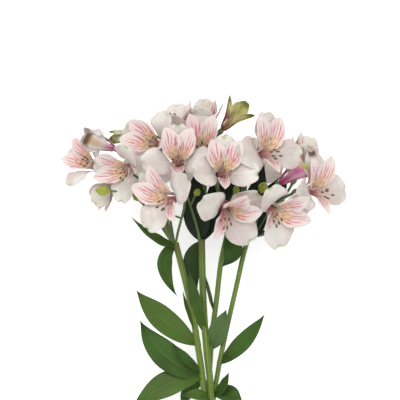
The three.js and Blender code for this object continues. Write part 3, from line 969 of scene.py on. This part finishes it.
@dataclass
class Bloom:
    """An open flower: its six tepals and its stamens.

    Args:
        number: from 0, as its nodes are numbered from 01.
        flower: where it stands.
        palette: the bunch's materials.
        anther: length and radius of an anther.
    """

    number: int
    flower: Flower
    palette: Palette
    anther: tuple[float, float] = (4.0, 1.1)

    def label(self) -> str:
        """Its number as its nodes carry it."""
        return f"{self.number + 1:02d}"

    def build_tepals(self) -> Piece:
        """Makes the six tepals in one piece."""
        blades = []
        for k, tepal in enumerate(self.flower.tepals(self.number)):
            form = tepal.form
            piece = blade(f"tepal_{k}", form.columns, form.rows, PETAL_THICK,
                          lambda t, u, part=tepal: self.flower.placed(part.sheet(t, u, self.flower.opened)))
            material = self.palette.outer if tepal.kind is Kind.OUTER else self.palette.inner
            dress(piece, material, seed=chance(self.number, k + 80), flush=self.flower.flush,
                  lower=float(tepal.kind is Kind.LOWER), dried=self.flower.dried * (k == 0))
            blades.append(piece)
        return join(f"tepals_{self.label()}", blades)

    def filament(self, k: int) -> tuple[Piece, Piece]:
        """Makes one filament and the anther at its end."""
        angle = math.radians(60 * k + 9 * draw(self.number, k + 60))
        side, rise = math.sin(angle), math.cos(angle)
        tip = np.array([5.6 * side, 4.2 * rise - 6.5, 32 + 3 * draw(self.number, k + 70)])
        knee = np.array([1.8 * side, 1.6 * rise - 1.6, 17])
        foot = np.array([0.9 * side, 0.9 * rise, 1.4])
        route = Route.bezier(*(self.flower.placed(p * self.flower.size) for p in (foot, knee, tip)))
        long, fat = (value * self.flower.size for value in self.anther)
        neck = 1 - long / route.length
        stalk = rod("filament", Route(route.at(np.linspace(0, neck + 0.01, 30))),
                    [(0, 0.42), (0.7, 0.36), (1, 0.22)], 6, 9)
        dress(stalk, self.palette.filament)
        head = rod("anther", Route(route.at(np.linspace(neck, 1, 12))),
                   [(0, 0.25 * fat), (0.22, 0.92 * fat), (0.5, fat), (0.8, 0.85 * fat), (1, 0.2 * fat)],
                   10, 9, ribs=2, depth=0.22)
        dress(head, self.palette.anther)
        return stalk, head

    def build_stamens(self) -> Piece:
        """Makes the six stamens and the style between them."""
        parts = [part for k in range(6) for part in self.filament(k)]
        corners = np.array([[0, 0, 0.5], [0, -1.0, 12], [0, -4.5, 24]]) * self.flower.size
        route = Route.bezier(*(self.flower.placed(p) for p in corners))
        style = rod("style", route, [(0, 1.3), (0.12, 0.55), (0.9, 0.4), (1, 0.55)], 6, 10)
        dress(style, self.palette.filament)
        return join(f"stamens_fine_{self.label()}", [style, *parts])

    def build(self) -> None:
        """Makes the flower and puts it in its nodes' place."""
        settle(self.build_tepals(), f"bloom_{self.label()}")
        settle(self.build_stamens(), f"stamens_{self.label()}")


@dataclass
class OpeningBloom:
    """A flower that is still opening: outer tepals round the closed inner ones.

    Args:
        number: from 0, as its node is numbered from 1.
        flower: where it stands.
        broad: how wide its outer tepals are, as a share of an open flower's.
        look: its colours.
        palette: the bunch's materials.
    """

    number: int
    flower: Flower
    broad: float
    look: OpeningLook
    palette: Palette

    def build(self) -> None:
        """Makes the flower and puts it in its node's place."""
        size = self.flower.size
        parts = []
        for k, tepal in enumerate(self.flower.tepals(self.number + 50)[:3]):
            wrapped = replace(tepal, form=WRAPPED, turn=tepal.root, wide=tepal.wide * self.broad)
            parts.append(blade(
                f"wrap_{k}", WRAPPED.columns, WRAPPED.rows, PETAL_THICK,
                lambda t, u, part=wrapped: self.flower.placed(part.sheet(t, u, self.flower.opened)),
            ))
        heart = Route.bezier(*(self.flower.placed(np.array([0, 0, z * size])) for z in (0, 40)))
        parts.append(rod("heart", heart, [(0, 3.0 * size), (0.4, 3.2 * size), (1, 0.7 * size)], 24, 30,
                         ribs=3, depth=0.14, twist=0.25))
        for k, part in enumerate(parts):
            dress(part, self.palette.opening[self.look], seed=chance(self.number, k + 90),
                  keeled=float(k == 0 or self.look is not OpeningLook.MAGENTA),
                  stained=float(k == 0 and self.look is OpeningLook.GREEN))
        settle(join(f"opening_tepals_{self.number + 1}", parts),
               f"opening_bloom_{self.number + 1}")


# ------------------------------------------------------------------ stems
@dataclass(frozen=True)
class Leaf:
    """A lance-shaped leaf.

    Args:
        at: height at which it leaves its stalk.
        tip: where it ends.
        sag: how its line bows from straight.
        wide: half its width.
        face: the way that its upper side looks.
        tone: from -1, darkened with painted shade, to 1, greyish.
    """

    at: float
    tip: Triple
    sag: Triple
    wide: float
    face: Triple
    tone: float = 0.0

    def sheet(self, stalk: Route) -> Callable[[Array, Array], Array]:
        """The middle of its blade."""
        root = stalk.at_height(self.at)
        tip = np.array(self.tip, float)
        bend = (root + tip) / 2 + np.array(self.sag)
        face = unit(np.array(self.face, float))

        def points(t: Array, u: Array) -> Array:
            """Points of the bunch frame for t along and u across."""
            s = t[:, None]
            middle = (1 - s) ** 2 * root + 2 * s * (1 - s) * bend + s**2 * tip
            along = unit(2 * (1 - s) * (bend - root) + 2 * s * (tip - bend))
            normal = unit(face - along * (along @ face)[:, None])
            across = np.cross(along, normal)
            width = self.wide * (0.1 + 0.9 * np.sin(np.pi * t**0.85) ** 0.9) * (1 - 0.94 * t**8)
            fold = 0.16 * np.abs(u) * width + 0.1 * u * width * np.sin(5 * t + self.wide)
            wave = 0.045 * width * np.abs(u) ** 3 * np.sin(16 * t + 2 * self.wide + np.sign(u))
            fold = fold + wave - 0.35 * np.exp(-((u / 0.09) ** 2)) * np.sin(np.pi * t)
            return middle + across * (u * width)[:, None] + normal * fold[:, None]

        return points


@dataclass(frozen=True)
class Bud:
    """A closed green bud on a thin stalk that forks from a flower's own.

    Args:
        ray: number of the flower whose stalk it forks from.
        at: where its body starts.
        heading: heading of its axis, in degrees.
        tilt: tilt of its axis away from the bunch's front, in degrees.
        long: its length.
    """

    ray: int
    at: Triple
    heading: float
    tilt: float
    long: float


@dataclass
class Stem:
    """A cut stem: its stalk, its leaves, its flowers' own stalks and its buds.

    Args:
        name: its node.
        number: its number among the stems.
        radius: of its stalk.
        line: stops of its stalk from the cut end to the whorl.
        leaves: its leaves.
        palette: the bunch's materials.
        leaf_thick: thickness of its leaves.
        seat: how far under its flowers their stalks end.
        ovary: length of an ovary.
    """

    name: str
    number: int
    radius: float
    line: Sequence[Triple]
    leaves: Sequence[Leaf]
    palette: Palette
    leaf_thick: float = 0.6
    seat: float = 0.5
    ovary: float = 9.0

    def ray_route(self, stalk: Route, flower: Flower) -> Route:
        """The line of one flower's stalk, from the whorl to the top of its ovary."""
        whorl = stalk.points[-1]
        end = np.array(flower.at) - self.seat * flower.axis()
        span = float(np.linalg.norm(end - whorl))
        aside = unit((end - whorl) * np.array([1, 0, 1]))
        start = whorl + 1.4 * aside + np.array([0, -2.5, 0])
        rise = start + 0.3 * (end - start) + np.array([0, 0.12 * span, 0])
        return Route.bezier(start, rise, end - 0.4 * span * flower.axis(), end)

    def build_stalk(self, stalk: Route) -> Piece:
        """Makes the stalk, a little swollen at its leaves' joints and at the whorl."""
        low, high = stalk.points[0, 1], stalk.points[-1, 1]
        profile = [(0, self.radius)]
        for y in sorted(leaf.at for leaf in self.leaves if leaf.at < high - 20):
            share = float(np.interp(y, stalk.points[:, 1], stalk.shares))
            if share - profile[-1][0] > 0.02:
                profile += [(share - 0.008, self.radius), (share, self.radius * 1.09),
                            (share + 0.008, self.radius)]
        profile += [(0.985, self.radius), (1, self.radius * 1.08)]
        piece = rod("stalk", stalk, profile, 20, 150, ribs=9, depth=0.02)
        dress(piece, self.palette.stalk, seed=0.2 * self.number)
        return join(f"stalk_{self.name}", [piece])

    def build_rays(self, stalk: Route, flowers: Sequence[Flower], buds: Sequence[Bud],
                   blooms: Sequence[Flower]) -> Piece:
        """Makes the flowers' stalks with their ribbed ovaries, and the buds on their forks."""
        parts = []
        for k, flower in enumerate(flowers):
            route = self.ray_route(stalk, flower)
            size = flower.size

            def back(distance: float) -> float:
                """The share of the length at a distance from its end."""
                return 1 - distance * size / route.length

            profile = [(0, 1.15), (back(self.ovary + 5), 1.1), (back(self.ovary), 1.35 * size),
                       (back(3.8), 3.3 * size), (back(1.2), 3.35 * size), (1, 2.7 * size)]
            ribbed = (back(self.ovary), 0.99)
            piece = rod(f"ray_{k}", route, profile, 24, 60, ribs=6, depth=0.09, ribbed=ribbed)
            dress(piece, self.palette.ray, seed=chance(self.number, k + 120))
            parts.append(piece)
        for bud in buds:
            parts += self.build_bud(bud, self.ray_route(stalk, blooms[bud.ray]))
        return join(f"rays_{self.name}", parts)

    def build_bud(self, bud: Bud, parent: Route) -> list[Piece]:
        """Makes one bud: a pointed body with the seams of its tepals, and its stalk."""
        foot = np.array(bud.at, float)
        axis = pointing(bud.heading, bud.tilt)
        fork = parent.points[round(0.4 * (len(parent.points) - 1))]
        bend = foot - 0.4 * float(np.linalg.norm(foot - fork)) * axis
        route = Route.bezier(fork, bend, foot, foot + bud.long * axis)
        start = 1 - bud.long / route.length
        body = Route(route.at(np.linspace(start - 0.02, 1, 40)))
        girth = [(0, 0.1), (0.1, 0.17), (0.4, 0.35), (0.66, 0.36), (0.92, 0.14), (1, 0.05)]
        head = rod("bud", body, [(s, g * bud.long) for s, g in girth], 24, 24, ribs=3, depth=0.1,
                   ribbed=(0.12, 0.97), twist=0.08)
        stalk = rod("bud_stalk", Route(route.at(np.linspace(0, start, 30))), [(0, 0.9), (1, 0.85)], 10, 12)
        dress(head, self.palette.bud, seed=0.5)
        dress(stalk, self.palette.ray, seed=0.5)
        return [head, stalk]

    def build_leaves(self, stalk: Route) -> Piece:
        """Makes the leaves."""
        parts = []
        for k, leaf in enumerate(self.leaves):
            piece = blade(f"leaf_{k}", 16, 44, self.leaf_thick, leaf.sheet(stalk), edge=0.5)
            # A negative tone darkens the leaf with painted shade; a positive one makes it greyish.
            dress(piece, self.palette.leaf, seed=chance(self.number + 7, k), pale=max(leaf.tone, 0.0),
                  deep=max(-leaf.tone, 0.0))
            parts.append(piece)
        return join(f"leaves_{self.name}", parts)

    def build(self, flowers: Sequence[Flower], buds: Sequence[Bud], blooms: Sequence[Flower]) -> None:
        """Makes the stem and puts it in its node's place."""
        stalk = Route.through(self.line)
        for piece in (self.build_stalk(stalk), self.build_rays(stalk, flowers, buds, blooms),
                      self.build_leaves(stalk)):
            settle(piece, self.name)


# ------------------------------------------------------------------ the elastic band
@dataclass
class ElasticBand:
    """A thin elastic band that is wound round the four stalks.

    Args:
        palette: the bunch's materials.
        inner: radius of its hole.
        thick: thickness of a turn.
        wide: width of all turns together.
        turns: how often it goes round.
    """

    palette: Palette
    inner: float = 7.9
    thick: float = 1.3
    wide: float = 5.0
    turns: int = 3

    def build(self) -> None:
        """Makes the turns side by side and puts them in their node's place."""
        pitch = self.wide / self.turns
        squash = 0.97 * pitch / self.thick
        parts = []
        for k in range(self.turns):
            deselect()
            bpy.ops.mesh.primitive_torus_add(
                major_segments=96, minor_segments=16, major_radius=self.inner + self.thick / 2,
                minor_radius=self.thick / 2)
            turn = bpy.context.object
            turn.name = f"turn_{k}"
            with editing(turn):
                bpy.ops.transform.resize(value=(1, 1, squash), center_override=(0, 0, 0))
            centre = Vector(LAYOUT.tie) + Vector((0, (k - (self.turns - 1) / 2) * pitch, 0))
            upright = Matrix.Translation(centre) @ Matrix.Rotation(math.radians(90), 4, "X")
            turn.data.transform(LAYOUT.place() @ upright)
            dress(turn, self.palette.rubber)
            only(turn)
            bpy.ops.object.shade_smooth()
            parts.append(turn)
        settle(join("elastic_band", parts), "tie")


def settle(piece: Piece, node: str) -> None:
    """Lets a finished piece ride on the body and stand for a node."""
    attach(piece, "root")
    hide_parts(node)
    LOG.info("%s: %d vertices for %s", piece.name, len(piece.data.vertices), node)


# ------------------------------------------------------------------ the studio
@dataclass
class Studio:
    """The floor, the soft light and the camera that looks down on the bunch.

    Args:
        view: width that the camera sees at the bunch, in millimetres.
        distance: of the camera, in millimetres.
        target: what it looks at, in the bunch frame.
        grey: the floor's own grey.
        glow: how much the floor shines of itself.
        sky: strength of the light from all round.
    """

    view: float = 352.0
    distance: float = 3500.0
    target: Triple = (0.0, 37.8, 0.0)
    grey: float = 0.92
    glow: float = 0.42
    sky: float = 0.72

    def build_floor(self) -> None:
        """Makes the pale floor."""
        deselect()
        bpy.ops.mesh.primitive_plane_add(size=12)
        floor = bpy.context.object
        floor.name = "floor"
        s = Shader("floor", roughness=0.9, specular=0.0)
        s.surface.inputs["Base Color"].default_value = (self.grey, self.grey, self.grey, 1)
        s.surface.inputs["Emission Color"].default_value = (1, 1, 1, 1)
        s.surface.inputs["Emission Strength"].default_value = self.glow
        dress(floor, s.material)

    def add_light(self, name: str, place: Triple, size: float, power: float) -> None:
        """Adds a square soft light that points at the bunch's middle.

        Args:
            name: its name.
            place: where it stands, in metres.
            size: its side, in metres.
            power: in watts.
        """
        deselect()
        bpy.ops.object.light_add(type="AREA", location=place)
        lamp = bpy.context.object
        lamp.name = name
        lamp.data.size = size
        lamp.data.energy = power
        lamp.rotation_euler = Vector(place).to_track_quat("Z", "Y").to_euler()

    def build_camera(self) -> None:
        """Adds the camera, square to the bunch's front."""
        deselect()
        bpy.ops.object.camera_add()
        camera = bpy.context.object
        camera.data.sensor_width = 36
        camera.data.lens = 36 * self.distance / self.view
        camera.data.clip_end = 50
        target = Vector(self.target)
        camera.location = LAYOUT.place() @ (target + Vector((0, 0, self.distance)))
        camera.rotation_euler = (math.radians(LAYOUT.lean), 0, 0)
        bpy.context.scene.camera = camera

    def build(self) -> None:
        """Makes the studio."""
        self.build_floor()
        self.build_camera()
        self.add_light("key", (-0.6, 0.9, 2.2), 1.4, 28)
        self.add_light("fill", (0.8, -0.5, 2.3), 1.8, 14)
        scene = bpy.context.scene
        scene.view_settings.view_transform = "Standard"
        world = bpy.data.worlds.new("studio")
        scene.world = world
        world.use_nodes = True
        world.node_tree.nodes["Background"].inputs["Color"].default_value = (1, 1, 1, 1)
        world.node_tree.nodes["Background"].inputs["Strength"].default_value = self.sky


# ------------------------------------------------------------------ the bunch
BLOOMS = (
    Flower(0, (-18, 40.5, 26), 188, 36, 138, 1.0, 1.08, 0.7),
    Flower(2, (17, 57, 32), 62, 22, 87, 0.91, 0.96, 0.6),
    Flower(2, (19.5, 36, 22), -62, 33, 48, 1.02, 0.98, 0.5),
    Flower(3, (56, 36, 22), -40, 44, 8, 1.0, 1.05, 0.5),
    Flower(3, (47, 75.5, 14), 25, 40, 91, 1.02, 1.08, 0.8),
    Flower(1, (-18, 65, 18), 96, 25, 90, 0.95, 0.95, 0.6),
    Flower(1, (2, 74, -4), 90, 32, 90, 0.95, 0.92, 0.8),
    Flower(1, (-32, 83.5, 3), 155, 34, 155, 0.92, 0.95, 0.8),
    Flower(0, (-55.5, 69, 8), 206, 42, 176, 0.87, 0.88, 0.5),
    Flower(0, (-87.5, 64, -9), 150, 52, 146, 0.8, 0.93, 0.9),
    Flower(1, (6, 93, -12), 92, 76, 340, 0.75, 0.38, 1.0),
    Flower(1, (-17.5, 86.5, -9), 95, 74, 342, 0.84, 0.5, 0.4),
    Flower(3, (87.5, 45, 0), 10, 49, 100, 1.0, 1.12, 0.6, 1.0),
    Flower(3, (84, 58, -18), 70, 76, 168, 0.84, 0.3, 0.9),
    Flower(0, (-72.5, 55.5, -4), 224, 98, 18, 0.68, 0.28, 0.5),
    Flower(0, (-40, 60, -28), 150, 154, 90, 0.88, 0.95, 0.5),
    Flower(1, (4, 60, -26), 90, 158, 90, 0.92, 0.95, 0.5),
    Flower(3, (40, 62, -28.5), 40, 154, 90, 0.84, 0.95, 0.5),
)
OPENING = (
    (Flower(0, (-75.5, 83, 8), 157, 70, 333, 0.7, 0.02), 1.2, OpeningLook.MAGENTA),
    (Flower(1, (-58, 96, -14), 190, 80, 0, 0.5, 0.08), 0.68, OpeningLook.CREAM),
    (Flower(3, (71, 53.5, 1), 36, 70, 12, 0.76, 0.25), 0.68, OpeningLook.ROSE),
    (Flower(2, (20, 100.5, -10), 50, 76, 202, 0.73, 0.42), 0.68, OpeningLook.GREEN),
)
BUDS = (
    Bud(8, (-80, 46, 16), 178, 76, 12),
    Bud(4, (55, 45, 2), 80, 40, 12),
    Bud(5, (-4, 42, 10), 60, 50, 8),
    Bud(2, (30, 44, 4), 60, 60, 8),
    Bud(0, (-52, 38, 8), 150, 70, 9),
)
# A last value below 0 darkens a leaf with painted shade, for the leaves that lie in shadow behind the heads
# and the stalks; above 0 the leaf is greyish.
LEFT = (
    Leaf(-89, (-56, -41, 14), (-9, -2, 8), 11, (0.25, 0.2, 1)),
    Leaf(-118, (-52.5, -67.5, 10), (-15, -7, 9), 12, (0.3, 0.1, 1)),
    Leaf(-117, (-62, -148, 6), (-1, 15, 12), 11.5, (-0.1, 0.45, 1)),
    Leaf(-114, (-26, -86, 20), (1, -4, 4), 4.6, (0.5, 0.5, 1)),
    Leaf(-78, (-15, -42, 15), (-3, 0, 3), 3.6, (1, 0.2, 0.5)),
    Leaf(-1, (-60, 23, 16), (1, -13, 5), 6.5, (0.3, 0.8, 0.6)),
    Leaf(-1, (-20, -47, 9), (-22, 9, 5), 7.5, (0.5, 0, 0.8)),
    Leaf(-122, (-15, -146, -10), (-8, 6, -2), 6, (0.3, 0.3, 1)),
)
MIDDLE = (
    Leaf(-80, (-10, -22, 9), (-2, 0, 4), 5.5, (-0.3, 0, 1)),
    Leaf(1, (-2, -46, -12), (-13, 8, -4), 8.5, (0.2, 0, 1), -0.6),
    Leaf(2, (-4, 64, -2), (-4, -6, 2), 12, (-0.1, 0, 1), -1.0),
    Leaf(2, (18, 72, -18), (5, -7, -4), 9.5, (0.1, 0.2, 1), -1.0),
    Leaf(-137, (-15.5, -134, 12), (0, 5, 10), 5.5, (0, 0.7, 1)),
)
RIGHT = (
    Leaf(-62, (5, -29, -2), (-2, 0, 2), 3.4, (0.9, 0, 0.5)),
    Leaf(-93, (23, -58, 16), (1, 0, 5), 8.5, (-0.1, 0.1, 1), 1.0),
    Leaf(6, (19, -21, 12), (14, 2, 7), 9, (0.25, 0.1, 1)),
    Leaf(7, (70, 58, -16), (2, -6, -6), 10, (-0.2, 0, 1), -1.0),
    Leaf(7, (38, 74, -18), (-1, -2, -4), 11.5, (-0.2, 0, 1), -1.0),
)
FAR_RIGHT = (
    Leaf(-106, (57, -62, 12), (4, -4, 6), 7.6, (-0.3, 0.25, 1)),
    Leaf(-135, (25, -113, 22), (4, -3, 2), 5.5, (-0.6, 0.2, 0.8)),
    Leaf(-132, (37, -138, 10), (2, 5, 8), 8, (0.1, 0.5, 1)),
    Leaf(5, (82, 20, -22), (-2, -8, -5), 7.5, (-0.3, 0.9, 0.2), -0.7),
    Leaf(5, (78, 58, -12), (2, -7, -5), 9, (0, 0.2, 1), -0.9),
    Leaf(6, (57, 70, -4), (-3, -6, -2), 11, (-0.2, 0, 1), -1.0),
)
STEMS = (
    ("stem_left", 2.8, ((-15, -342, 1.4), (-4, -250, 2), (4.2, -158, 2.9), (2.8, -125, 4), (-2, -90, 4),
                        (-8.2, -54, 3), (-17.4, -16, 1), (-21.5, 0, 0)), LEFT),
    ("stem_middle", 3.0, ((12, -350, 2.75), (11.6, -250, 3), (10.4, -158, 2.9), (9.2, -125, 4), (5.8, -94, 3),
                          (2.8, -50, 0), (1.4, 3, -2)), MIDDLE),
    ("stem_right", 2.3, ((0, -338, 0.05), (2.4, -250, -2.2), (4.4, -158, -3), (7.5, -125, -3.4),
                         (11, -77, -3), (14.6, -50, -4), (18.6, -16, -6), (24, 8, -8)), RIGHT),
    ("stem_far_right", 2.2, ((26, -330, -1.05), (16.5, -250, -2.8), (10, -158, -3), (16, -112, -2),
                             (22.3, -81, -1), (31.4, -41, -2), (40, -4, -3), (44, 7, -4)), FAR_RIGHT),
)


def main() -> None:
    """Builds the studio and the bunch."""
    logging.basicConfig(level=logging.INFO, format="%(name)s: %(message)s")
    Studio().build()
    palette = Palette()
    opening = [flower for flower, *_ in OPENING]
    for number, (name, radius, line, leaves) in enumerate(STEMS):
        mine = [flower for flower in (*BLOOMS, *opening) if flower.stem == number]
        buds = [bud for bud in BUDS if BLOOMS[bud.ray].stem == number]
        Stem(name, number, radius, line, leaves, palette).build(mine, buds, BLOOMS)
    for number, flower in enumerate(BLOOMS):
        Bloom(number, flower, palette).build()
    for number, (flower, broad, look) in enumerate(OPENING):
        OpeningBloom(number, flower, broad, look, palette).build()
    ElasticBand(palette).build()
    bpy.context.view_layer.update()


if __name__ == "__main__":
    main()
